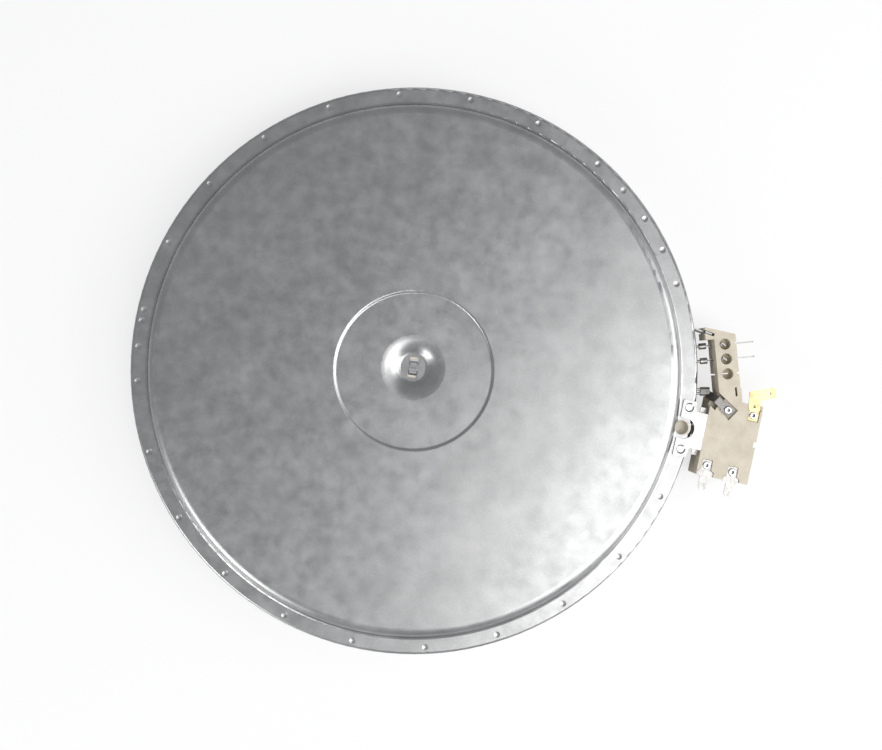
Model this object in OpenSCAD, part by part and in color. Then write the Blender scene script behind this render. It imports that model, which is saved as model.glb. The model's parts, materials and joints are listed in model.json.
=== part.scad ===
// Radiant surface element for a glass cooktop, lying glass side down as on a bench.
// z = 0 is the plane of the glass, the pan's axis is Z, and +Z points to the pan's bottom.

/* [Pan] */
// Outer diameter of the pan
pan_d = 334.4; // [278:0.1:402]
// Thickness of the pan's sheet
sheet_t = 0.6; // [0.5:0.05:0.75]
// Height of the plateau over the ledge
ledge_drop = 5; // [4.2:0.1:6]
// Distance from the foot of the plateau's slope to the pan's wall
ledge_w = 9; // [7.5:0.1:10.8]
// Radius of the plateau's rounded shoulder
shoulder_r = 7; // [5.8:0.1:8.4]
// Height of the open rim over the glass
rim_z = 3.5; // [2.9:0.1:4.2]
// Radius of the shallow round step in the middle
recess_r = 46.2; // [38:0.1:56]
// Depth of the shallow round step
recess_depth = 0.8; // [0.6:0.05:1]
// Radius of the bell-shaped dip
bell_r = 19; // [15.8:0.1:23]
// Depth of the bell-shaped dip
bell_depth = 4.5; // [3.7:0.1:5.4]
// Number of pressed dots round the ledge
dot_count = 22; // [16:1:22]
// Diameter of a pressed dot
dot_d = 3.7; // [3:0.1:4.5]
// Diameter of the hole in the boss beside the bracket
boss_hole_d = 8.2; // [6.8:0.1:8.6]

/* [Insulation] */
// Depth of the heating chamber, from the glass to the base insulation
chamber_h = 19; // [17:0.1:23]
// Thickness of the base insulation under the plateau
base_t = 10.4; // [8.6:0.1:12.5]
// Width of the outer fibre ring
ring_w = 13.4; // [11:0.1:16.2]
// Width of the ring between the circuits
partition_w = 7; // [5.8:0.1:8.4]
// Gap between the partition ring and the glass
partition_gap = 1; // [0.8:0.1:1.4]

/* [Heating ribbon] */
// Distance between neighbouring tracks
track_pitch = 12; // [11:0.1:14.4]
// Number of tracks in the outer circuit, an odd number
outer_tracks = 3; // [1:2:3]
// Height of the ribbon
ribbon_h = 5.5; // [4.5:0.1:5.8]
// Thickness of the ribbon
ribbon_t = 0.4; // [0.3:0.05:0.5]
// Length of one wave of the ribbon
wave_pitch = 9; // [8:0.5:14]
// Width of the ribbon's wave, crest to crest
wave_w = 5; // [4:0.1:6]
// Diameter of the lead wires
lead_d = 1.5; // [1.2:0.1:1.6]

/* [Temperature limiter] */
// Direction of the limiter seen from the pan's axis, in degrees
limiter_angle = -11.95; // [-14:0.05:-10]
// Height of the limiter's tube over the glass
tube_z = 9.5; // [9:0.1:9.8]
// Outer diameter of the limiter's tube
tube_d = 6; // [5:0.1:6.4]
// Bore of the limiter's tube
tube_bore = 4; // [3.3:0.1:4.4]
// Diameter of the expansion rod
rod_d = 2; // [1.6:0.1:2.4]
// Thickness of the bracket's sheet
bracket_t = 1; // [0.8:0.1:1.2]
// Width of the bracket on the ledge
bracket_w = 33; // [31:0.1:38]
// Width of the bracket's neck over the gap
neck_w = 21.6; // [18:0.1:22.4]
// Distance between the bracket's rivets
rivet_span = 25; // [24:0.1:26]

/* [Terminal housing] */
// Gap between the pan's wall and the housing
housing_gap = 7.3; // [6.5:0.1:8.7]
// Length of the housing's body, away from the pan
body_l = 30.8; // [30:0.1:36]
// Width of the housing's body
body_w = 46.8; // [45:0.1:56]
// Height of the housing's body
body_h = 21.5; // [20.5:0.1:22.5]
// Width of the arm that carries the heater's terminals
arm_w = 12.6; // [11:0.1:15]
// Height of the arm
arm_h = 16.5; // [14:0.1:19]
// Turn of the arm against the body, in degrees
arm_turn = 17.25; // [14:0.05:20]
// Distance between the arm's terminals
pocket_pitch = 8.75; // [8:0.05:9.5]
// Diameter of the round pockets over the terminals
pocket_d = 6.6; // [5.5:0.1:7.4]
// Thickness of the housing's outer walls
wall_t = 2.8; // [2.5:0.1:3]
// Depth of the terminals' recesses in the top face
recess_t = 1.5; // [1.2:0.1:1.8]

/* [Terminals] */
// Width of the large blades
blade_w = 6.3; // [5.2:0.1:6.6]
// Thickness of all terminals
blade_t = 0.8; // [0.6:0.05:0.9]
// Length of the arm's blades outside the arm
blade_l = 12; // [10:0.1:14.4]
// Width of the small signal blades
signal_w = 4.8; // [4:0.1:5.4]
// Length of a signal tab from its rivet to its tip
signal_l = 14.8; // [13.5:0.1:17.8]
// Shank diameter of the terminals' rivets
rivet_d = 3.2; // [2.6:0.1:3.4]

/* [Hidden] */
$fn = 64;

fit = 0.2;              // play of the insulation in the pan
slide = 0.1;            // play of a blade in its slot, each side
pin_play = 0.05;        // play of a rivet or a wire in its hole, on the radius
touch = 0.05;           // distance between a lead and the ribbon that it feeds
over = 1;               // how far a cut runs past the face it opens

// Pan
pan_r = pan_d / 2;
edge_r = 2;             // rounded edge between ledge and wall
foot_r = 1.5;           // hollow at the foot of the plateau's slope
plateau_z = chamber_h + base_t + sheet_t;
ledge_z = plateau_z - ledge_drop;
foot_x = pan_r - ledge_w;
crest_x = foot_x - slope_reach(ledge_drop, shoulder_r, foot_r);
recess_z = plateau_z - recess_depth;
recess_edge_r = 1.5;    // rounding of the shallow step, above and below
dip_at = [-0.3, 1.9];   // middle of the dip, a little off the pan's axis as pressed
dip_turn = -8;
bell_crest_r = 14;
bell_foot_r = 5;
bell_z = recess_z - bell_depth;
cup_w = 15;             // oval cup at the bottom of the dip
cup_l = 17;
cup_z = bell_z - 1.2;
clip_w = 4.6;
clip_t = 0.8;
clip_leg_y = 3.6;
clip_bridge = 4;        // strip of the pan between the clip's two openings
clip_window = 4.2;      // length of each opening
dot_r = pan_r - 4.6;    // circle of the pressed dots
dot_depth = 0.35;
dot_start = 18.3;
dot_extras = [25.9, 40.7, 169.5, 174.9];
dot_lag = 0.65;         // the dots lag behind an even spacing towards the far side
boss_r = 5.5;
boss_x = -5.6;          // along the limiter's axis, from the pan's wall
boss_hole_x = -6.4;
boss_edge_r = 0.95;
boss_z = ledge_z + bracket_t;

// Chamber
wall_in_r = pan_r - sheet_t - fit;
ring_in_r = wall_in_r - ring_w;
track_gap = 7;          // from a ring's wall to the middle of the next track
outer_r = ring_in_r - track_gap;
partition_out_r = outer_r - (outer_tracks - 1) * track_pitch - track_gap;
partition_in_r = partition_out_r - partition_w;
inner_r = partition_in_r - track_gap;
smallest_track_r = 26;
inner_tracks = 2 * floor((inner_r - smallest_track_r) / (2 * track_pitch)) + 1;

// Housing, in the limiter's frame: x away from the pan's wall, y along it
top_z = ledge_z + bracket_t;
body_x0 = housing_gap;
body_x1 = housing_gap + body_l;
body_y0 = -body_w + 21.8;
body_y1 = 21.8;
body_z0 = top_z - body_h;
arm_at = [10.87, 44.84];
arm_x0 = -arm_w / 2 + 0.34;
arm_x1 = arm_w / 2 + 0.34;
arm_z0 = top_z - arm_h;
floor_z = top_z - recess_t;
cavity_z1 = floor_z - 5;
cover_t = 1.4;
cavity_z0 = body_z0 + cover_t;
lug_at = [-8.6, 16];    // foot of the arm on the pan's tongue
lug_turn = -26;
lead_z = chamber_h - 3.5;
blade_z = lead_z + 0.5;
slot_top_z = blade_z + blade_w / 2 + fit;
pocket_z = slot_top_z + 1.35;
slit_l = 3.6;           // slit under a pocket that a blade's lug comes through
barrel_l = 4;
barrel_x = -13;         // start of a lead's barrel, in the arm's frame
pocket_rows = [1, 0, -1];

// Riveted terminals, in the limiter's frame
strap_at = [18.18, 15.62];
strap_turn = 148.2;
power_at = [33.3, 15.56];
signal_left_at = [12.5, -18.7];
signal_right_at = [28.1, -19.6];
crimp_at = [4.77, 23.93];
crimp_size = [5.5, 4.6, 3];
crimp_wire_y = 1.15;
spring_t = 0.4;

// Gap of the tracks that the leads run through, in a frame turned to the middle of the leads
lead_mid_y = 34.6;
gap_angle = limiter_angle + asin(lead_mid_y / pan_r);
gap_up = 12.4;          // where the tracks end on the arm's side
gap_down = 21.5;        // where they end on the other side
end_flat = 1.2;         // straight end of a ribbon, each side of its lead

// Reach of an S-shaped step: a rounded crest that runs straight into a hollow foot
function slope_reach(drop, crest, foot) =
    sqrt(pow(crest + foot, 2) - pow(crest + foot - drop, 2));

function unit(v) = v / norm(v);

function turned(p, angle) =
    [p.x * cos(angle) - p.y * sin(angle), p.x * sin(angle) + p.y * cos(angle)];

// Points of one rounded corner
function corner(before, at, after, r, n) =
    let (
        d0 = unit(before - at),
        d1 = unit(after - at),
        half = acos(d0 * d1) / 2,
        middle = at + unit(d0 + d1) * r / sin(half),
        p0 = at + d0 * r / tan(half) - middle,
        p1 = at + d1 * r / tan(half) - middle,
        a0 = atan2(p0.y, p0.x),
        turn = atan2(p1.y, p1.x) - a0,
        sweep = turn > 180 ? turn - 360 : turn < -180 ? turn + 360 : turn
    )
    [for (i = [0:n]) middle + r * [cos(a0 + sweep * i / n), sin(a0 + sweep * i / n)]];

// A closed outline, or an open path, with its corners rounded
function rounded(points, r, n = 4) =
    let (count = len(points))
    [for (i = [0:count - 1])
        each corner(points[(i + count - 1) % count], points[i], points[(i + 1) % count], r, n)];

function rounded_path(points, r, n = 4) =
    let (last = len(points) - 1)
    [points[0], for (i = [1:last - 1]) each corner(points[i - 1], points[i], points[i + 1], r, n), points[last]];

// Outline of a strip of even thickness along a path
function normal(a, b) = let (d = unit(b - a)) [-d.y, d.x];

function beside(path, distance) =
    let (last = len(path) - 1)
    [for (i = [0:last])
        let (
            n0 = normal(path[max(i - 1, 0)], path[max(i, 1)]),
            n1 = normal(path[min(i, last - 1)], path[min(i + 1, last)])
        )
        path[i] + distance * (n0 + n1) / (1 + n0 * n1)];

function reversed(list) = [for (i = [len(list) - 1:-1:0]) list[i]];

function strip(path, t) = concat(beside(path, t / 2), reversed(beside(path, -t / 2)));

// Frames
module at_limiter() {
    rotate([0, 0, limiter_angle]) translate([pan_r, 0, 0]) children();
}

module at_arm() {
    at_limiter() in_arm() children();
}

module in_arm() {
    translate([arm_at.x, arm_at.y, 0]) rotate([0, 0, arm_turn]) children();
}

module at_dip() {
    translate([dip_at.x, dip_at.y, 0]) rotate([0, 0, dip_turn]) children();
}

module in_strap() {
    translate([strap_at.x, strap_at.y, 0]) rotate([0, 0, strap_turn]) children();
}

// A flat plate from an outline, with its underside at z
module plate(points, z, t) {
    translate([0, 0, z]) linear_extrude(t) polygon(points);
}

module box(from, to) {
    translate(from) cube(to - from);
}

// A round bar along X
module bar_x(x0, x1, r, y = 0, z = 0) {
    translate([x0, y, z]) rotate([0, 90, 0]) cylinder(r = r, h = x1 - x0);
}

// Sliver between the chord a-b and the arc of a circle, on the side away from its centre
module arc_sliver(centre, r, a, b) {
    away = r * unit((a + b) / 2 - centre);
    intersection() {
        translate(centre) circle(r);
        polygon([a - 0.2 * away, b - 0.2 * away, b + away, a + away]);
    }
}

// Column of a section between the height base and an arc from a to b
module bulge(base, a, b, centre, r) {
    polygon([[a.x, base], [b.x, base], b, a]);
    arc_sliver(centre, r, a, b);
}

module hollow(base, a, b, centre, r) {
    difference() {
        polygon([[a.x, base], [b.x, base], b, a]);
        arc_sliver(centre, r, a, b);
    }
}

// Where the crest of an S-shaped step runs into its foot, for a step that falls away from x = 0
function slope_mid(drop, crest, foot) =
    [slope_reach(drop, crest, foot), -drop] * crest / (crest + foot);

function mirrored(v) = [-v.x, v.y];

// Section of the pan's outside, moved in by a distance
module pan_section(inset) {
    step_reach = slope_reach(recess_depth, recess_edge_r, recess_edge_r);
    top = plateau_z - inset;
    ledge = ledge_z - inset;
    edge0 = [pan_r - inset, ledge_z - edge_r];
    edge1 = [pan_r - edge_r, ledge];
    foot = [foot_x, ledge];
    crest = [crest_x, top];
    mid = crest + slope_mid(ledge_drop, shoulder_r - inset, foot_r + inset);
    step_crest = [recess_r + step_reach / 2, top];
    step_mid = step_crest + mirrored(slope_mid(recess_depth, recess_edge_r - inset, recess_edge_r + inset));
    step_foot = [step_crest.x - step_reach, recess_z - inset];
    square(step_foot);
    hollow(0, step_foot, step_mid, [step_foot.x, recess_z + recess_edge_r], recess_edge_r + inset);
    bulge(0, step_mid, step_crest, [step_crest.x, plateau_z - recess_edge_r], recess_edge_r - inset);
    translate([step_crest.x, 0]) square([crest.x - step_crest.x, top]);
    bulge(0, crest, mid, [crest.x, plateau_z - shoulder_r], shoulder_r - inset);
    hollow(0, mid, foot, [foot.x, ledge_z + foot_r], foot_r + inset);
    translate([foot.x, 0]) square([edge1.x - foot.x, ledge]);
    bulge(0, edge1, edge0, [edge1.x, edge0.y], edge_r - inset);
}

// Section of the bell-shaped dip, open at the top
module bell_section(inset) {
    top = recess_z + over;
    crest = [bell_r, recess_z - inset];
    foot = [bell_r - slope_reach(bell_depth, bell_crest_r, bell_foot_r), bell_z - inset];
    mid = crest + mirrored(slope_mid(bell_depth, bell_crest_r - inset, bell_foot_r + inset));
    translate([0, foot.y]) square([foot.x, top - foot.y]);
    bulge(top, foot, mid, [foot.x, bell_z + bell_foot_r], bell_foot_r + inset);
    hollow(top, mid, crest, [crest.x, recess_z - bell_crest_r], bell_crest_r - inset);
}

module oval(w, l) {
    square([w, l - w], center = true);
    for (side = [-1, 1]) translate([0, side * (l - w) / 2]) circle(d = w);
}

module boss_section(inset) {
    edge0 = [boss_r - inset, boss_z - boss_edge_r];
    edge1 = [boss_r - boss_edge_r, boss_z - inset];
    square(edge1);
    bulge(0, edge1, edge0, [edge1.x, edge0.y], boss_edge_r - inset);
}

// Solid block inside the pan's outer surface, moved in by a distance
module pan_block(inset) {
    difference() {
        rotate_extrude($fn = 180) pan_section(inset);
        at_dip() {
            rotate_extrude() bell_section(inset);
            translate([0, 0, cup_z - inset]) linear_extrude(plateau_z) oval(cup_w + 2 * inset, cup_l + 2 * inset);
        }
    }
    at_limiter() translate([boss_x, 0, 0]) rotate_extrude() boss_section(inset);
}

module pan() {
    ball = (pow(dot_d / 2, 2) + pow(dot_depth, 2)) / (2 * dot_depth);
    dots = concat([for (i = [0:dot_count - 1]) dot_start + 15 * i - dot_lag * (1 - cos(15 * i - 15))], dot_extras);
    color("silver") {
        difference() {
            pan_block(0);
            pan_block(sheet_t);
            cylinder(r = pan_r + over, h = rim_z);
            for (angle = dots) rotate([0, 0, angle]) translate([dot_r, 0, ledge_z + ball - dot_depth]) sphere(ball);
            at_dip() for (side = [-1, 1]) translate([0, side * (clip_bridge + clip_window) / 2, cup_z - over])
                linear_extrude(2 * over) square([clip_w + 1, clip_window], center = true);
            at_limiter() {
                translate([boss_hole_x, 0, ledge_z - 2 * over]) cylinder(d = boss_hole_d, h = ledge_drop + 3 * over);
                bar_x(-edge_r - 2 * over, over, tube_d / 2 + over, 0, tube_z);
                for (side = [-1, 1]) translate([bracket_rivet_x, side * rivet_span / 2, ledge_z - 2 * over])
                    cylinder(r = bracket_rivet_r + pin_play, h = 3 * over);
            }
            lead_windows();
        }
        arm_tongue();
    }
}

// Windows in the pan's wall for the leads
module lead_windows() {
    low = lead_z - 3;
    high = lead_z + 3;
    at_arm() box([-26, -3.4, low], [-9, pocket_pitch + 3.4, high]);
    at_limiter() translate([crimp_at.x, crimp_at.y, 0]) rotate([0, 0, gap_angle - limiter_angle])
        box([-14, -4.2, low], [-1, 4.2, high]);
}

// Tongue of the pan that holds the arm's foot
tongue_l = 11.6;
tongue_t = 0.9;
module arm_tongue() {
    at_arm() translate([lug_at.x, lug_at.y, 0]) rotate([0, 0, lug_turn]) {
        intersection() {
            box([-tongue_l, -tongue_t / 2, lead_z - 3], [2.2, tongue_t / 2, top_z - 3.5]);
            box([-tongue_l, -over, 0], [2.2, over, top_z]);
        }
        box([-2.4, -tongue_t / 2, top_z - 4], [1.6, tongue_t / 2, top_z + 0.3]);
    }
}

// Strip clip through the middle of the pan and the base insulation
module centre_clip() {
    hook_z = cup_z + clip_t / 2 + pin_play;
    back_z = chamber_h - clip_t / 2;
    path = rounded_path([
        [0.4, hook_z], [clip_leg_y, hook_z], [clip_leg_y, back_z],
        [-clip_leg_y, back_z], [-clip_leg_y, hook_z], [-0.4, hook_z]
    ], 1);
    color("gainsboro") at_dip() rotate([90, 0, 90]) translate([0, 0, -clip_w / 2])
        linear_extrude(clip_w) polygon(strip(path, clip_t));
}

module base_insulation() {
    leg = clip_leg_y;
    color("wheat") difference() {
        pan_block(sheet_t + fit);
        cylinder(r = pan_r, h = chamber_h);
        at_dip() for (side = [-1, 1]) translate([0, side * leg, chamber_h - over])
            linear_extrude(base_t) square([clip_w + 2 * fit, clip_t + 4 * fit], center = true);
        at_dip() translate([0, 0, cup_z - sheet_t - 1.4]) linear_extrude(base_t)
            square([clip_w + 2 * fit, 2 * leg + clip_t + 2 * fit], center = true);
        at_limiter() {
            translate([boss_hole_x, 0, chamber_h + 1.5]) cylinder(d = boss_hole_d, h = base_t);
            for (side = [-1, 1]) translate([bracket_rivet_x, side * rivet_span / 2, ledge_z - sheet_t - 1.8])
                cylinder(r = bracket_rivet_r + 2, h = base_t);
        }
    }
}

// Slots for the leads, and holes for the limiter's tube, through the fibre rings
module lead_slots() {
    r = lead_d / 2 + 0.35;
    for (lead = [outer_feed, inner_feed, outer_return, inner_return])
        along(lead[0], lead[1]) box([-over, -r, lead_z - r], [norm(lead[1] - lead[0]) + over, r, chamber_h + over]);
}

module outer_ring() {
    color("ivory") difference() {
        rotate_extrude($fn = 180) translate([ring_in_r, 0]) square([ring_w, chamber_h]);
        lead_slots();
        rotate([0, 0, limiter_angle]) bar_x(-ring_in_r - tube_end - over, pan_r, tube_d / 2 + 0.3, 0, tube_z);
    }
}

module partition_ring() {
    color("ivory") difference() {
        rotate_extrude($fn = 180) translate([partition_in_r, partition_gap])
            square([partition_w, chamber_h - partition_gap]);
        lead_slots();
        rotate([0, 0, limiter_angle]) bar_x(-pan_r, pan_r, tube_d / 2 + 0.3, 0, tube_z);
    }
}

// A zigzag along an arc, one point to a crest
function wave(r, from, to) =
    let (
        count = 2 * round(r * abs(to - from) * PI / 180 / wave_pitch),
        step = (to - from) / count
    )
    [for (i = [0:count - 1]) on_track(r + (i % 2 == 0 ? -1 : 1) * wave_w / 2, from + (i + 0.5) * step)];

// Half-round turn from one track to the next, on the line y
function hairpin(r0, r1, y) =
    let (
        x0 = sqrt(r0 * r0 - y * y),
        x1 = sqrt(r1 * r1 - y * y),
        reach = (x0 - x1) / 2,
        side = y > 0 ? -1 : 1
    )
    [for (angle = [0:30:180]) [(x0 + x1) / 2 + reach * cos(angle), y + side * abs(reach) * sin(angle)]];

function on_track(r, angle) = r * [cos(angle), sin(angle)];

// One circuit: tracks joined by hairpins at the two sides of the gap, with a straight bit at each end
function circuit(first_r, tracks, start, end) =
    let (
        last = tracks - 1,
        last_r = first_r - last * track_pitch,
        flat0 = end_flat / first_r * 180 / PI,
        flat1 = end_flat / last_r * 180 / PI
    )
    [
        on_track(first_r, start - flat0),
        for (k = [0:last])
            let (
                r = first_r - k * track_pitch,
                up = k == 0 ? start + flat0 : asin(gap_up / r),
                down = k == last ? 360 + end - flat1 : 360 - asin(gap_down / r),
                from = k % 2 == 0 ? up : down,
                to = k % 2 == 0 ? down : up
            )
            each concat(
                k == 0 ? [on_track(r, up)] : [],
                wave(r, from, to),
                k == last ? [on_track(r, down)] : hairpin(r, r - track_pitch, k % 2 == 0 ? -gap_down : gap_up)
            ),
        on_track(last_r, 360 + end + flat1)
    ];

module ribbon(first_r, tracks, feed, return) {
    path = circuit(first_r, tracks, angle_in_gap(feed[0]), angle_in_gap(return[0]));
    rotate([0, 0, gap_angle]) plate(strip(path, ribbon_t), chamber_h - ribbon_h, ribbon_h);
}

function angle_in_gap(p) = atan2(p.y, p.x) - gap_angle;

module outer_ribbon() {
    color("saddlebrown") ribbon(outer_r, outer_tracks, outer_feed, outer_return);
}

module inner_ribbon() {
    color("saddlebrown") ribbon(inner_r, inner_tracks, inner_feed, inner_return);
}

// Leads, from the ribbon to the barrel: each is its two end points in the pan's plane
function limiter_point(p) = turned([p.x + pan_r, p.y], limiter_angle);

function arm_point(p) = limiter_point(arm_at + turned(p, arm_turn));

function crimp_point(p) = limiter_point(crimp_at + turned(p, gap_angle - limiter_angle));

// Where the line back from a point meets the circle of a track
function back_to(p, angle, r) =
    let (
        d = [cos(angle), sin(angle)],
        b = p * d
    )
    p + d * (-b + sqrt(b * b - p * p + r * r));

// End of a lead beside a track: the ribbon crosses it at a slant
function track_end(p, angle, r) =
    let (
        at = back_to(p, angle, r + ribbon_t / 2 + touch),
        d = [cos(angle), sin(angle)],
        slant = asin(abs(at.x * d.y - at.y * d.x) / norm(at))
    )
    at + d * (lead_d / 2) * tan(slant);

lead_in = 3;            // how far a wire goes into its barrel
feed_angle = limiter_angle + arm_turn;
outer_last_r = outer_r - (outer_tracks - 1) * track_pitch;
inner_last_r = inner_r - (inner_tracks - 1) * track_pitch;
outer_feed = lead_ends(arm_point([barrel_x + lead_in, pocket_pitch]), feed_angle, outer_r);
inner_feed = lead_ends(arm_point([barrel_x + lead_in, 0]), feed_angle, inner_r);
outer_return = lead_ends(crimp_point([lead_in - crimp_size.x / 2, -crimp_wire_y]), gap_angle, outer_last_r);
inner_return = lead_ends(crimp_point([lead_in - crimp_size.x / 2, crimp_wire_y]), gap_angle, inner_last_r);

function lead_ends(p, angle, r) = [track_end(p, angle, r), p];

module along(from, to) {
    translate([from.x, from.y, 0]) rotate([0, 0, atan2(to.y - from.y, to.x - from.x)]) children();
}

module lead(ends) {
    color("silver") along(ends[0], ends[1]) bar_x(0, norm(ends[1] - ends[0]), lead_d / 2, 0, lead_z);
}

module outer_feed_lead() {
    lead(outer_feed);
}

module inner_feed_lead() {
    lead(inner_feed);
}

module outer_return_lead() {
    lead(outer_return);
}

module inner_return_lead() {
    lead(inner_return);
}

// Limiter: tube, rod and nut
tube_end = 8;           // how far the tube reaches into the far side of the outer ring
tube_seat = 2;          // how far it goes into the housing
nut_t = 2;
rod_head_x = 12;

module limiter_tube() {
    color("whitesmoke") rotate([0, 0, limiter_angle]) difference() {
        bar_x(-ring_in_r - tube_end + nut_t, pan_r + body_x0 + tube_seat, tube_d / 2, 0, tube_z);
        bar_x(-pan_r, pan_r + body_x1, tube_bore / 2, 0, tube_z);
    }
}

module limiter_rod() {
    color("dimgray") rotate([0, 0, limiter_angle]) {
        bar_x(-ring_in_r - tube_end, pan_r + rod_head_x, rod_d / 2, 0, tube_z);
        bar_x(pan_r + rod_head_x, pan_r + rod_head_x + 1, rod_d / 2 + 0.8, 0, tube_z);
    }
}

module rod_nut() {
    color("dimgray") rotate([0, 0, limiter_angle]) difference() {
        bar_x(-ring_in_r - tube_end, -ring_in_r - tube_end + nut_t, tube_d / 2 - 0.2, 0, tube_z);
        bar_x(-pan_r, 0, rod_d / 2 + pin_play, 0, tube_z);
    }
}

// Bracket between ledge and housing
bracket_rivet_x = -4.4;
bracket_rivet_r = 2.3;
bracket_foot_x = -8.4;
bracket_neck_x = 0.2;
notch_r = 6.3;
notch_x = -5.3;
flange_z = tube_z + tube_d / 2 + 1;
ear_z = 20;
ear_in = 2.6;
ear_w = 3.4;

module limiter_bracket() {
    half = bracket_w / 2;
    neck = neck_w / 2;
    ear_y = neck + ear_w;
    outline = rounded([
        [bracket_foot_x, -half], [bracket_neck_x - 1, -half], [bracket_neck_x, -neck], [body_x0 - 0.1, -neck],
        [body_x0 - 0.1, neck], [bracket_neck_x, neck], [bracket_neck_x - 1, half], [bracket_foot_x, half]
    ], 0.6);
    color("lightgray") at_limiter() difference() {
        union() {
            plate(outline, ledge_z, bracket_t);
            box([body_x0 - 0.1 - bracket_t, -neck + 0.6, flange_z], [body_x0 - 0.1, neck - 0.6, top_z - 0.5]);
            for (side = [-1, 1]) mirror([0, side < 0 ? 1 : 0, 0])
                box([body_x0 - 4, neck - 1, ear_z], [body_x0 + ear_in, ear_y, ear_z + bracket_t]);
        }
        translate([notch_x, 0, ledge_z - over]) cylinder(r = notch_r, h = 4 * over);
        box([bracket_foot_x - over, -notch_r, ledge_z - over], [notch_x, notch_r, top_z + over]);
        for (side = [-1, 1]) translate([bracket_rivet_x, side * rivet_span / 2, ledge_z - over]) {
            cylinder(r = bracket_rivet_r + pin_play, h = 4 * over);
            translate([0, 0, over + 0.3]) cylinder(r1 = bracket_rivet_r + pin_play, r2 = 3.7, h = bracket_t - 0.3);
        }
    }
}

// Tubular rivets with a wide cone that fills the bracket's countersink
module bracket_rivets() {
    low = ledge_z - sheet_t - 1;
    color("darkgray") at_limiter() for (side = [-1, 1]) translate([bracket_rivet_x, side * rivet_span / 2, 0])
        rotate_extrude() difference() {
            union() {
                translate([0, low]) square([bracket_rivet_r + 1, 1]);
                translate([0, low]) square([bracket_rivet_r, top_z - low]);
                polygon([[0, ledge_z + 0.4], [bracket_rivet_r, ledge_z + 0.4], [3.55, top_z], [0, top_z]]);
            }
            polygon([[0, top_z - 0.7], [1.9, top_z - 0.7], [3, top_z + 0.1], [0, top_z + 0.1]]);
        }
}

// Terminal housing
module body_outline(inset) {
    polygon(rounded([
        [body_x0 + inset, body_y0 + inset], [body_x1 - inset, body_y0 + inset],
        [body_x1 - inset, body_y1 - inset], [body_x0 + inset, body_y1 - inset]
    ], 0.8));
}

module arm_outline() {
    polygon(rounded([
        [arm_x0, -31], [arm_x1, -31], [arm_x1 + 0.6, -18], [arm_x1, -17.2], [arm_x1, 14.1],
        [lug_at.x - 2.4, 19.8], [lug_at.x - 2.4, 12.2], [arm_x0, 12.2]
    ], 0.5));
}

module limiter_housing() {
    color("tan") at_limiter() difference() {
        union() {
            translate([0, 0, body_z0]) linear_extrude(body_h) body_outline(0);
            in_arm() translate([0, 0, arm_z0]) linear_extrude(arm_h) arm_outline();
        }
        // cavity of the switches, and the seat of its cover
        box([body_x0 + wall_t, body_y0 + wall_t, body_z0 - over], [body_x1 - 2.4, body_y1 - wall_t, cavity_z1]);
        translate([0, 0, body_z0 - over]) linear_extrude(cover_t + over) body_outline(wall_t / 2);
        // seat of the tube, and the rod's way in
        bar_x(body_x0 - over, body_x0 + tube_seat + 0.1, tube_d / 2 + 0.1, 0, tube_z);
        bar_x(body_x0, body_x0 + wall_t + over, rod_d / 2 + 1, 0, tube_z);
        for (side = [-1, 1]) mirror([0, side < 0 ? 1 : 0, 0])
            box([body_x0 - over, neck_w / 2 - 1.3, ear_z - 0.3],
                [body_x0 + ear_in + 0.4, neck_w / 2 + ear_w + 0.5, ear_z + bracket_t + 0.5]);
        terminal_recesses();
        for (at = [strap_at, power_at, signal_left_at, signal_right_at])
            translate([at.x, at.y, cavity_z1 - over]) cylinder(r = rivet_d / 2 + pin_play, h = 8);
        in_arm() arm_cuts();
        // calibrating screw, and the notch over its end
        bar_x(body_x1 - wall_t - over, body_x1 + over, screw_r + 0.1, screw_y, screw_z);
        box([body_x1 - 1.4, screw_y - 1.6, screw_z], [body_x1 + over, screw_y + 1.6, top_z + over]);
    }
}

module terminal_recesses() {
    in_strap() {
        box([-4.3, -3.8, floor_z], [12, 4.2, top_z + over]);
        box([5.6, -3.8, pit_z], [22, 5.4, top_z + over]);
        box([10.5, -3.8, lead_z - 2], [22, 4.2, top_z + over]);
    }
    plate(grown(power_plate(), 0.35), floor_z, recess_t + over);
    translate([signal_left_at.x, signal_left_at.y, 0]) plate(grown(signal_plate(), 0.3), floor_z, recess_t + over);
    translate([signal_right_at.x, signal_right_at.y, 0]) plate(grown(signal_plate(), 0.3), floor_z, recess_t + over);
}

// An outline moved outwards
function grown(points, by) =
    let (count = len(points))
    [for (i = [0:count - 1])
        let (
            n0 = normal(points[(i + count - 1) % count], points[i]),
            n1 = normal(points[i], points[(i + 1) % count])
        )
        points[i] - by * (n0 + n1) / (1 + n0 * n1)];

module arm_cuts() {
    for (row = pocket_rows) translate([0, row * pocket_pitch, 0]) {
        translate([0, 0, pocket_z]) cylinder(d = pocket_d, h = arm_h);
        box([arm_x0 - over, -blade_t / 2 - slide, arm_z0 - over], [arm_x1 + over, blade_t / 2 + slide, slot_top_z]);
        box([-slit_l / 2, -blade_t / 2 - slide, slot_top_z - over], [slit_l / 2, blade_t / 2 + slide, pocket_z + over]);
        box([arm_x1 - 1.3, -0.6, slot_top_z - over], [arm_x1 + over, 0.6, top_z + over]);
    }
    // slot for the foot's tongue
    translate([lug_at.x, lug_at.y, 0]) rotate([0, 0, lug_turn])
        box([-4, -0.9, arm_z0 - over], [3.2, 0.9, top_z + over]);
    box([3.4, -22.4, arm_z0 - over], [4.6, -17.1, top_z + over]);
}

module housing_cover() {
    color("gainsboro") at_limiter() translate([0, 0, body_z0]) linear_extrude(cover_t - 0.1)
        body_outline(wall_t / 2 + 0.1);
}

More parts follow.
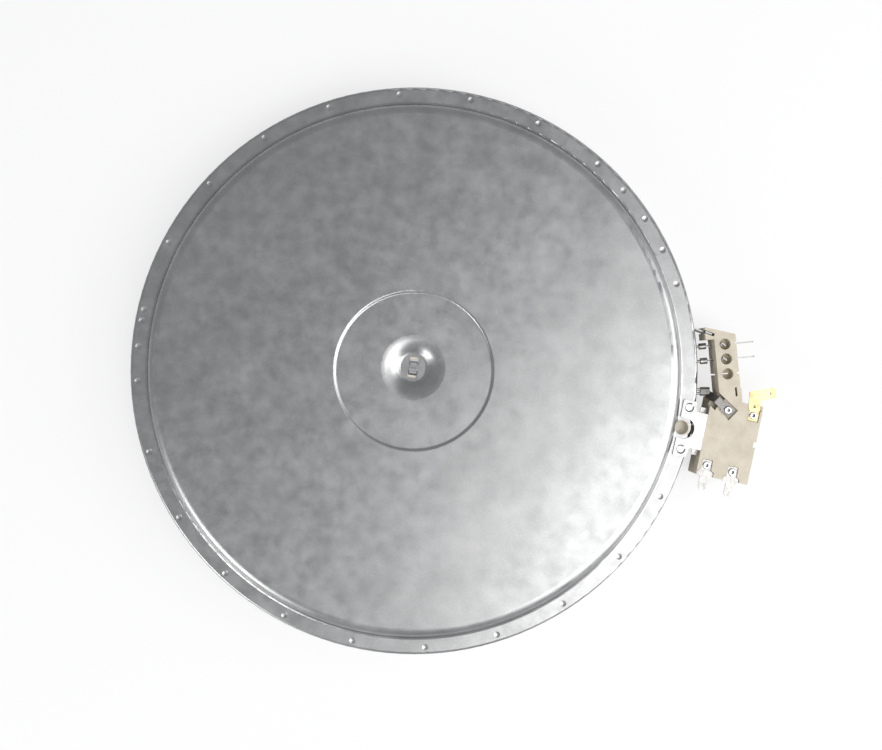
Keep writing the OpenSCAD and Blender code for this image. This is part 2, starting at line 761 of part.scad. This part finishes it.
// Blade of the arm with a lug that is twisted in its pocket, and a barrel round the lead
module arm_tab(row) {
    low = blade_z - blade_w / 2;
    high = blade_z + blade_w / 2;
    tip = arm_x1 + blade_l;
    color("slategray") at_arm() translate([0, row * pocket_pitch, 0]) {
        difference() {
            union() {
                rotate([90, 0, 0]) translate([0, 0, -blade_t / 2]) linear_extrude(blade_t) polygon([
                    [barrel_x + barrel_l - 0.5, lead_z - 1], [arm_x0 - 1, lead_z - 1], [arm_x0 + 0.4, low], [tip - 1, low],
                    [tip, low + 0.8], [tip, high - 0.8], [tip - 1, high], [arm_x0 + 0.4, high],
                    [arm_x0 - 1, lead_z + 1], [barrel_x + barrel_l - 0.5, lead_z + 1]
                ]);
                box([-1.5, -blade_t / 2, high - 0.5], [1.5, blade_t / 2, pocket_z + 0.1]);
                rotate([0, 0, -42]) box([-1.5, -blade_t / 2, pocket_z + 0.05], [1.5, blade_t / 2, pocket_z + 2.2]);
                bar_x(barrel_x, barrel_x + barrel_l, lead_d / 2 + 1.1, 0, lead_z);
            }
            bar_x(barrel_x - over, barrel_x + barrel_l - 0.6, lead_d / 2 + pin_play, 0, lead_z);
            translate([tip - 4, over, blade_z]) rotate([90, 0, 0]) cylinder(d = 1.7, h = 2 * over);
        }
    }
}

module outer_tab() {
    arm_tab(1);
}

module inner_tab() {
    arm_tab(0);
}

// Strap from the common crimp down to its rivet
pit_z = top_z - 5.4;
strap_w = 4.6;
strap_bend = 9.3;
strap_crimp = 15.8;
module link_strap() {
    path = rounded_path([
        [-3.4, floor_z + blade_t / 2], [strap_bend, floor_z + blade_t / 2],
        [strap_crimp - 2.6, lead_z + 0.2], [strap_crimp, lead_z + 0.2]
    ], 0.8);
    color("dimgray") at_limiter() difference() {
        union() {
            in_strap() rotate([90, 0, 0]) translate([0, 0, -strap_w / 2]) linear_extrude(strap_w)
                polygon(strip(path, blade_t));
            in_strap() plate(rounded([[-3.4, -3], [3.6, -3], [3.6, 3], [-3.4, 3]], 0.4), floor_z, blade_t);
            translate([crimp_at.x, crimp_at.y, lead_z]) rotate([0, 0, gap_angle - limiter_angle])
                barrel_pair(lead_d / 2 + 0.7);
        }
        translate([crimp_at.x, crimp_at.y, lead_z]) rotate([0, 0, gap_angle - limiter_angle])
            for (y = [-crimp_wire_y, crimp_wire_y])
                bar_x(-crimp_size.x / 2 - over, lead_in - crimp_size.x / 2 + 0.3, lead_d / 2 + pin_play, y);
        translate([strap_at.x, strap_at.y, floor_z - over]) cylinder(r = rivet_d / 2 + pin_play, h = 4 * over);
    }
}

module barrel_pair(r) {
    for (y = [-crimp_wire_y, crimp_wire_y]) bar_x(-crimp_size.x / 2, crimp_size.x / 2, r, y);
    box([-crimp_size.x / 2, -crimp_wire_y, -r], [crimp_size.x / 2, crimp_wire_y, r]);
}

// Brass tab with its blade bent to the side and down
blade_turn = 20;
blade_tilt = 25;
power_bend = [[33.6, 30.9], [35.75, 25]];
function power_plate() = [
    [30.7, 12.4], [36.4, 12.4], [36.4, 18.6], [36.9, 19.2], power_bend[1], power_bend[0],
    [28.5, 28.8], [29.9, 18.6], [30.7, 18.2]
];

module power_tab() {
    middle = (power_bend[0] + power_bend[1]) / 2;
    color("goldenrod") at_limiter() difference() {
        union() {
            plate(power_plate(), floor_z, blade_t);
            translate([middle.x, middle.y, floor_z]) rotate([0, blade_tilt, blade_turn]) {
                plate([[-0.3, -blade_w / 2], [blade_l - 1, -blade_w / 2], [blade_l, -blade_w / 2 + 0.8],
                    [blade_l, blade_w / 2 - 0.8], [blade_l - 1, blade_w / 2], [-0.3, blade_w / 2]], 0, blade_t);
            }
        }
        translate([power_at.x, power_at.y, floor_z - over]) cylinder(r = rivet_d / 2 + pin_play, h = 4 * over);
        translate([middle.x, middle.y, floor_z]) rotate([0, blade_tilt, blade_turn])
            translate([blade_l - 4.6, 0, -over]) cylinder(d = 1.7, h = 4 * over);
        translate([32.95, 20.8, floor_z + blade_t + 0.5]) sphere(1);
    }
}

// Small tab: base with its rivet, shoulders, and a blade with a rounded tip
function signal_plate() = [
    [-2.8, 3.2], [-2.8, -2.6], [-4.7, -3.8], [-4.7, -6.2], [-signal_w / 2, -6.9], [-signal_w / 2, 1.6 - signal_l],
    [-signal_w / 2 + 1.4, -signal_l], [signal_w / 2 - 1.4, -signal_l], [signal_w / 2, 1.6 - signal_l],
    [signal_w / 2, -6.9], [4.7, -6.2], [4.7, -3.8], [2.8, -2.6], [2.8, 3.2]
];

module signal_tab(at) {
    color("slategray") at_limiter() translate([at.x, at.y, 0]) difference() {
        plate(signal_plate(), floor_z, blade_t);
        translate([0, 0, floor_z - over]) cylinder(r = rivet_d / 2 + pin_play, h = 4 * over);
        translate([0, 3.3 - signal_l, floor_z - over]) cylinder(d = 1.4, h = 4 * over);
    }
}

module signal_tab_left() {
    signal_tab(signal_left_at);
}

module signal_tab_right() {
    signal_tab(signal_right_at);
}

// Tubular rivets: a rolled head outside, a flat head under the spring inside
module terminal_rivets() {
    head_z = floor_z + blade_t;
    low = cavity_z1 - spring_t - 0.8;
    color("gainsboro") at_limiter() for (at = [strap_at, power_at, signal_left_at, signal_right_at])
        translate([at.x, at.y, 0]) rotate_extrude() difference() {
            union() {
                translate([0, low]) square([rivet_d / 2 + 0.6, 0.75]);
                translate([0, low]) square([rivet_d / 2, head_z - low + 0.9]);
                translate([0, head_z + pin_play]) square([rivet_d / 2 + 0.2, 0.85]);
                translate([rivet_d / 2 + 0.2, head_z + pin_play + 0.425]) circle(0.425);
            }
            translate([0, head_z - 1.5]) square([rivet_d / 2 - 0.5, 4]);
        }
}

// Switch parts in the cavity
power_spring_x = 21.5;
power_contact_x = 24.6;
signal_spring_x = 15;
signal_contact_x = 17.6;
spring_low = cavity_z0 + 1;
tip_z = 12.5;
tip_r = 1.2;

module power_spring() {
    color("peru") at_limiter() difference() {
        union() {
            box([strap_at.x - 2.8, strap_at.y - 2.8, cavity_z1 - spring_t - 0.02],
                [power_spring_x + spring_t, strap_at.y + 2.8, cavity_z1 - 0.02]);
            box([power_spring_x, strap_at.y - 2.8, spring_low], [power_spring_x + spring_t, strap_at.y + 2.8, cavity_z1 - 0.02]);
            box([power_spring_x, -3, spring_low], [power_spring_x + spring_t, strap_at.y, tip_z + 2]);
        }
        translate([strap_at.x, strap_at.y, cavity_z1 - 3]) cylinder(r = rivet_d / 2 + pin_play, h = 6);
    }
}

module power_contact() {
    color("goldenrod") at_limiter() difference() {
        union() {
            box([power_contact_x, power_at.y - 2.8, cavity_z1 - spring_t - 0.02],
                [power_at.x + 1.4, power_at.y + 2.8, cavity_z1 - 0.02]);
            box([power_contact_x, power_at.y - 2.8, spring_low],
                [power_contact_x + spring_t, power_at.y + 2.8, cavity_z1 - 0.02]);
            box([power_contact_x, -3, spring_low], [power_contact_x + spring_t, power_at.y, tip_z + 2]);
        }
        translate([power_at.x, power_at.y, cavity_z1 - 3]) cylinder(r = rivet_d / 2 + pin_play, h = 6);
    }
}

module signal_spring() {
    at = signal_left_at;
    color("peru") at_limiter() difference() {
        union() {
            box([body_x0 + wall_t + 0.2, at.y - 2.8, cavity_z1 - spring_t - 0.02],
                [signal_spring_x + spring_t, at.y + 2.8, cavity_z1 - 0.02]);
            box([signal_spring_x, at.y - 2.8, spring_low], [signal_spring_x + spring_t, at.y + 2.8, cavity_z1 - 0.02]);
            box([signal_spring_x, at.y, spring_low], [signal_spring_x + spring_t, 3, tip_z + 2]);
        }
        translate([at.x, at.y, cavity_z1 - 3]) cylinder(r = rivet_d / 2 + pin_play, h = 6);
        bar_x(signal_spring_x - over, signal_spring_x + over, 1.7, 0, tube_z);
    }
}

module signal_contact() {
    at = signal_right_at;
    color("peru") at_limiter() difference() {
        union() {
            box([signal_contact_x, at.y - 2.2, cavity_z1 - spring_t - 0.02], [at.x + 2.8, at.y + 2.2, cavity_z1 - 0.02]);
            box([signal_contact_x, at.y - 2.2, spring_low], [signal_contact_x + spring_t, at.y + 2.2, cavity_z1 - 0.02]);
            box([signal_contact_x, at.y, spring_low], [signal_contact_x + spring_t, -4, tip_z + 2]);
        }
        translate([at.x, at.y, cavity_z1 - 3]) cylinder(r = rivet_d / 2 + pin_play, h = 6);
    }
}

// Two pairs of contact tips, closed as they are when the heater is cold
module contact_tips() {
    power_y = 7;
    signal_y = -9;
    half_power = (power_contact_x - power_spring_x - spring_t) / 2;
    half_signal = (signal_contact_x - signal_spring_x - spring_t) / 2;
    color("lightgray") at_limiter() {
        bar_x(power_spring_x + spring_t, power_spring_x + spring_t + half_power - 0.02, tip_r, power_y, tip_z);
        bar_x(power_contact_x - half_power + 0.02, power_contact_x, tip_r, power_y, tip_z);
        bar_x(signal_spring_x + spring_t, signal_spring_x + spring_t + half_signal - 0.02, tip_r, signal_y, tip_z);
        bar_x(signal_contact_x - half_signal + 0.02, signal_contact_x, tip_r, signal_y, tip_z);
    }
}

module actuator_pin() {
    color("white") at_limiter() {
        bar_x(rod_head_x + 1.05, signal_spring_x - 0.05, 2.3, 0, tube_z);
        bar_x(signal_spring_x - 0.5, power_spring_x - 0.05, 1.5, 0, tube_z);
    }
}

screw_r = 1.5;
screw_y = -1.2;
screw_z = 12.5;
module calibrating_screw() {
    color("darkgray") at_limiter() difference() {
        bar_x(power_contact_x + spring_t + 0.05, body_x1 + 0.4, screw_r, screw_y, screw_z);
        box([body_x1 - 0.5, screw_y - 0.25, screw_z - 2], [body_x1 + over, screw_y + 0.25, screw_z + 2]);
    }
}

pan();
centre_clip();
limiter_bracket();
bracket_rivets();
limiter_housing();
housing_cover();
outer_tab();
inner_tab();
link_strap();
power_tab();
signal_tab_left();
signal_tab_right();
terminal_rivets();
outer_feed_lead();
inner_feed_lead();
outer_return_lead();
inner_return_lead();
base_insulation();
outer_ring();
partition_ring();
inner_ribbon();
outer_ribbon();
limiter_tube();
limiter_rod();
rod_nut();
power_spring();
power_contact();
signal_spring();
signal_contact();
contact_tips();
actuator_pin();
calibrating_screw();
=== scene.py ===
"""Looks of the radiant surface element: materials, floor, light and camera."""
import json
import math
import random

import bpy
from mathutils import Matrix, Vector


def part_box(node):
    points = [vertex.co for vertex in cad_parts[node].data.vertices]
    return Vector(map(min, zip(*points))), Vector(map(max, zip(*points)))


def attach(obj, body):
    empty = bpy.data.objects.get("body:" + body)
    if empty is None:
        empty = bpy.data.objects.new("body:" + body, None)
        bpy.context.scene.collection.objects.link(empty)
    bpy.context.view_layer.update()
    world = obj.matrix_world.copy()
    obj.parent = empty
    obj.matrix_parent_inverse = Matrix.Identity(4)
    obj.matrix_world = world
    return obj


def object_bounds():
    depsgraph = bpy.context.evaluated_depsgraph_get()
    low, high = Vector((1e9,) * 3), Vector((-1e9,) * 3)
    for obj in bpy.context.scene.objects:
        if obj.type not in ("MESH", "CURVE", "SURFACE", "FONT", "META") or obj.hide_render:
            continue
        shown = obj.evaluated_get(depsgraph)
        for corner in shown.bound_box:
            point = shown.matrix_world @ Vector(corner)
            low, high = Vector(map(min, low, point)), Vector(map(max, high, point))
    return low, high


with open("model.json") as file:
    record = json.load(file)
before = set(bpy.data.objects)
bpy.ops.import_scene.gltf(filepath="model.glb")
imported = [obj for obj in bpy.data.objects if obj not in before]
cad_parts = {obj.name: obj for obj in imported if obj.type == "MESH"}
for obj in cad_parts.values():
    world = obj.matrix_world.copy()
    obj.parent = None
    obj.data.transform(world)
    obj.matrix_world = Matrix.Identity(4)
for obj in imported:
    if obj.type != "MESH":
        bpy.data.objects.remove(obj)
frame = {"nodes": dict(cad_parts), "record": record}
cad_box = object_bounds()

MM = 0.001

# Scale and framing of the photograph, 882 x 750 px
PX = 0.588 * MM  # one pixel at the height of the housing's top face
PAN_CENTRE_PX = (413.93, 370.87)
IMAGE_PX = (882, 750)
CAMERA_DISTANCE = 0.650  # from the housing's top face
REFERENCE_Z = 25 * MM
SENSOR_MM = 36

PLATEAU_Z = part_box("pan")[1].z
LIMITER_ANGLE = math.radians(-11.95)


def place(px, py, z=REFERENCE_Z):
    """Where a pixel of the photograph lies on the plane z."""
    spread = (CAMERA_DISTANCE + REFERENCE_Z - z) / CAMERA_DISTANCE
    x = (px - IMAGE_PX[0] / 2) * PX * spread + (IMAGE_PX[0] / 2 - PAN_CENTRE_PX[0]) * PX
    y = (IMAGE_PX[1] / 2 - py) * PX * spread + (PAN_CENTRE_PX[1] - IMAGE_PX[1] / 2) * PX
    return Vector((x, y, z))


# Materials


def new_material(name, color, metallic=0.0, roughness=0.5):
    mat = bpy.data.materials.new(name)
    mat.use_nodes = True
    shader = mat.node_tree.nodes["Principled BSDF"]
    shader.inputs["Base Color"].default_value = (*color, 1)
    shader.inputs["Metallic"].default_value = metallic
    shader.inputs["Roughness"].default_value = roughness
    return mat, shader


def add(mat, kind, **settings):
    node = mat.node_tree.nodes.new(kind)
    for key, value in settings.items():
        if key in node.inputs:
            node.inputs[key].default_value = value
        else:
            setattr(node, key, value)
    return node


def link(mat, a, b):
    mat.node_tree.links.new(a, b)


def noise(mat, per_metre, detail=3.0, stretch=(1, 1, 1), turn=0.0, rough=0.55):
    """Value of a noise in object space, with its grain given as cells a metre."""
    coords = add(mat, "ShaderNodeTexCoord")
    mapping = add(mat, "ShaderNodeMapping", Scale=stretch, Rotation=(0, 0, turn))
    texture = add(mat, "ShaderNodeTexNoise", Scale=per_metre, Detail=detail, Roughness=rough)
    link(mat, coords.outputs["Object"], mapping.inputs["Vector"])
    link(mat, mapping.outputs["Vector"], texture.inputs["Vector"])
    return texture.outputs["Fac"]


def cells(mat, per_metre):
    """Flat value of each cell of a crystal pattern."""
    coords = add(mat, "ShaderNodeTexCoord")
    texture = add(mat, "ShaderNodeTexVoronoi", Scale=per_metre)
    split = add(mat, "ShaderNodeSeparateColor")
    link(mat, coords.outputs["Object"], texture.inputs["Vector"])
    link(mat, texture.outputs["Color"], split.inputs["Color"])
    return split.outputs["Red"]


def ranged(mat, value, low, high, start=0.3, end=0.7):
    node = add(mat, "ShaderNodeMapRange")
    node.inputs["From Min"].default_value = start
    node.inputs["From Max"].default_value = end
    node.inputs["To Min"].default_value = low
    node.inputs["To Max"].default_value = high
    link(mat, value, node.inputs["Value"])
    return node.outputs["Result"]


def blended(mat, value, low, high, start=0.3, end=0.7):
    """Colour from low to high over the value."""
    ramp = add(mat, "ShaderNodeValToRGB")
    ramp.color_ramp.elements[0].position = start
    ramp.color_ramp.elements[0].color = (*low, 1)
    ramp.color_ramp.elements[1].position = end
    ramp.color_ramp.elements[1].color = (*high, 1)
    link(mat, value, ramp.inputs["Fac"])
    return ramp.outputs["Color"]


def summed(mat, a, b, operation="ADD"):
    node = add(mat, "ShaderNodeMath", operation=operation)
    link(mat, a, node.inputs[0])
    link(mat, b, node.inputs[1])
    return node.outputs["Value"]


def scaled(mat, value, factor):
    node = add(mat, "ShaderNodeMath", operation="MULTIPLY")
    node.inputs[1].default_value = factor
    link(mat, value, node.inputs[0])
    return node.outputs["Value"]


def bump(mat, shader, height, distance, strength=1.0):
    node = add(mat, "ShaderNodeBump", Strength=strength, Distance=distance)
    link(mat, height, node.inputs["Height"])
    link(mat, node.outputs["Normal"], shader.inputs["Normal"])


def sheet_metal(name, dark, light, roughness, blotch=55, grain=900, wave=0.0, metallic=1.0):
    """Coated or plated sheet: cloudy colour, fine grain, and an uneven gloss."""
    mat, shader = new_material(name, light, metallic, roughness)
    cloud = noise(mat, blotch, 4, rough=0.6)
    fine = noise(mat, grain, 2)
    tone = summed(mat, scaled(mat, cloud, 0.7), scaled(mat, fine, 0.3))
    link(mat, blended(mat, tone, dark, light, 0.36, 0.64), shader.inputs["Base Color"])
    gloss = ranged(mat, noise(mat, blotch * 2.3, 3), roughness - 0.06, roughness + 0.06)
    link(mat, gloss, shader.inputs["Roughness"])
    height = scaled(mat, fine, 0.12)
    if wave:
        height = summed(mat, height, scaled(mat, noise(mat, 14, 1), wave))
    bump(mat, shader, height, 0.1 * MM)
    return mat


def grey(v, warm=0.0):
    return (v * (1 + warm), v, v * (1 - warm))


def pressed_ceramic(name, base, shade, speck):
    """Unglazed pressed ceramic: cloudy, lightly speckled and grainy."""
    mat, shader = new_material(name, base, 0.0, 0.72)
    cloud = noise(mat, 130, 4)
    grain = noise(mat, 2600, 2)
    tone = summed(mat, scaled(mat, cloud, 0.6), scaled(mat, grain, 0.4))
    link(mat, blended(mat, tone, shade, base, 0.38, 0.6), shader.inputs["Base Color"])
    bump(mat, shader, grain, speck * MM)
    return mat


def fibre(name, base, shade):
    mat, shader = new_material(name, base, 0.0, 0.95)
    lumps = noise(mat, 260, 6, rough=0.7)
    link(mat, blended(mat, lumps, shade, base, 0.3, 0.65), shader.inputs["Base Color"])
    bump(mat, shader, lumps, 0.5 * MM)
    return mat


MATERIALS = {
    "pan_sheet": sheet_metal("pan_sheet", grey(0.40), grey(0.50), 0.36, wave=0.9),
    "bracket_zinc": sheet_metal("bracket_zinc", grey(0.46, 0.03), grey(0.66, 0.03), 0.4, blotch=220),
    "rivet_steel": sheet_metal("rivet_steel", grey(0.45), grey(0.62), 0.3, blotch=400),
    "clip_steel": sheet_metal("clip_steel", grey(0.5), grey(0.66), 0.28, blotch=300),
    "steatite": pressed_ceramic("steatite", (0.66, 0.60, 0.49), (0.55, 0.49, 0.39), 0.06),
    "tab_nickel": sheet_metal("tab_nickel", grey(0.30, 0.03), grey(0.44, 0.03), 0.36, blotch=250),
    "strap_dark": sheet_metal("strap_dark", grey(0.16, 0.04), grey(0.27, 0.05), 0.42, blotch=300),
    "brass": sheet_metal("brass", (0.45, 0.36, 0.19), (0.66, 0.55, 0.31), 0.36, blotch=260),
    "lead_wire": sheet_metal("lead_wire", grey(0.4), grey(0.5), 0.35, blotch=300),
    "base_fibre": fibre("base_fibre", (0.78, 0.74, 0.67), (0.62, 0.58, 0.5)),
    "ring_fibre": fibre("ring_fibre", (0.82, 0.80, 0.74), (0.68, 0.65, 0.58)),
    "ribbon": sheet_metal("ribbon", (0.05, 0.045, 0.04), (0.12, 0.10, 0.09), 0.55, blotch=120, metallic=0.8),
    "quartz": pressed_ceramic("quartz", (0.74, 0.74, 0.72), (0.66, 0.66, 0.64), 0.03),
    "rod_alloy": sheet_metal("rod_alloy", grey(0.2, 0.03), grey(0.32, 0.03), 0.4, blotch=200),
    "cover_mica": pressed_ceramic("cover_mica", (0.58, 0.54, 0.46), (0.46, 0.42, 0.35), 0.04),
    "spring_bronze": sheet_metal("spring_bronze", (0.36, 0.22, 0.12), (0.5, 0.33, 0.2), 0.35, blotch=300),
    "silver": sheet_metal("silver", grey(0.6), grey(0.75), 0.25, blotch=500),
}

for row in frame["record"]["subparts"]:
    node = frame["nodes"][row["node"]]
    node.data.materials.clear()
    node.data.materials.append(MATERIALS[row["material_slot"]])


def mesh_object(name, vertices, faces, mat, slot):
    data = bpy.data.meshes.new(name)
    data.from_pydata(vertices, [], faces)
    data.materials.append(mat)
    piece = bpy.data.objects.new(name, data)
    bpy.context.scene.collection.objects.link(piece)
    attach(piece, "root")
    return piece


# Floor
floor_mat, floor_shader = new_material("floor", (0.86, 0.86, 0.86), 0.0, 0.9)
floor_glow = add(floor_mat, "ShaderNodeEmission", Strength=1.0)
floor_glow.inputs["Color"].default_value = (1, 1, 1, 1)
floor_rays = add(floor_mat, "ShaderNodeLightPath")
floor_mix = add(floor_mat, "ShaderNodeMixShader")
FLOOR_GLOW = 0.72  # share of plain white that the camera sees on the floor
seen = scaled(floor_mat, floor_rays.outputs["Is Camera Ray"], FLOOR_GLOW)
link(floor_mat, seen, floor_mix.inputs["Fac"])
link(floor_mat, floor_shader.outputs["BSDF"], floor_mix.inputs[1])
link(floor_mat, floor_glow.outputs["Emission"], floor_mix.inputs[2])
link(floor_mat, floor_mix.outputs["Shader"], floor_mat.node_tree.nodes["Material Output"].inputs["Surface"])
FLOOR_HALF = 4.0
floor_data = bpy.data.meshes.new("floor")
floor_data.from_pydata(
    [(x, y, cad_box[0].z) for x, y in ((-FLOOR_HALF, -FLOOR_HALF), (FLOOR_HALF, -FLOOR_HALF),
                                       (FLOOR_HALF, FLOOR_HALF), (-FLOOR_HALF, FLOOR_HALF))],
    [], [(0, 1, 2, 3)])
floor_data.materials.append(floor_mat)
floor = bpy.data.objects.new("floor", floor_data)
bpy.context.scene.collection.objects.link(floor)

# Light: a plain pale room, a wide soft lamp on the right, a smaller one at the lower left
world = bpy.data.worlds.new("world")
bpy.context.scene.world = world
world.use_nodes = True
room = world.node_tree.nodes["Background"]
room.inputs["Color"].default_value = (0.95, 0.97, 1, 1)
room.inputs["Strength"].default_value = 0.38


def soft_lamp(name, place, target, size, power):
    data = bpy.data.lights.new(name, "AREA")
    data.shape = "RECTANGLE"
    data.size, data.size_y = size
    data.energy = power
    lamp = bpy.data.objects.new(name, data)
    lamp.location = place
    lamp.rotation_euler = (Vector(target) - Vector(place)).to_track_quat("-Z", "Y").to_euler()
    bpy.context.scene.collection.objects.link(lamp)
    return lamp


soft_lamp("lamp_right", (1.3, -0.25, 0.75), (0, 0, 0), (1.6, 0.7), 14)
soft_lamp("lamp_lower_left", (-0.9, -0.8, 0.6), (0, 0, 0), (0.6, 0.5), 5)
soft_lamp("lamp_above", (0.9, -0.6, 1.9), (0, 0, 0), (1.4, 1.4), 22)

# Camera: straight above, as in the photograph
camera_data = bpy.data.cameras.new("camera")
camera_data.sensor_width = SENSOR_MM
camera_data.lens = SENSOR_MM * CAMERA_DISTANCE / (IMAGE_PX[0] * PX)
camera = bpy.data.objects.new("camera", camera_data)
centre = place(IMAGE_PX[0] / 2, IMAGE_PX[1] / 2)
camera.location = (centre.x, centre.y, REFERENCE_Z + CAMERA_DISTANCE)
bpy.context.scene.collection.objects.link(camera)
bpy.context.scene.camera = camera
bpy.context.scene.view_settings.view_transform = "Standard"
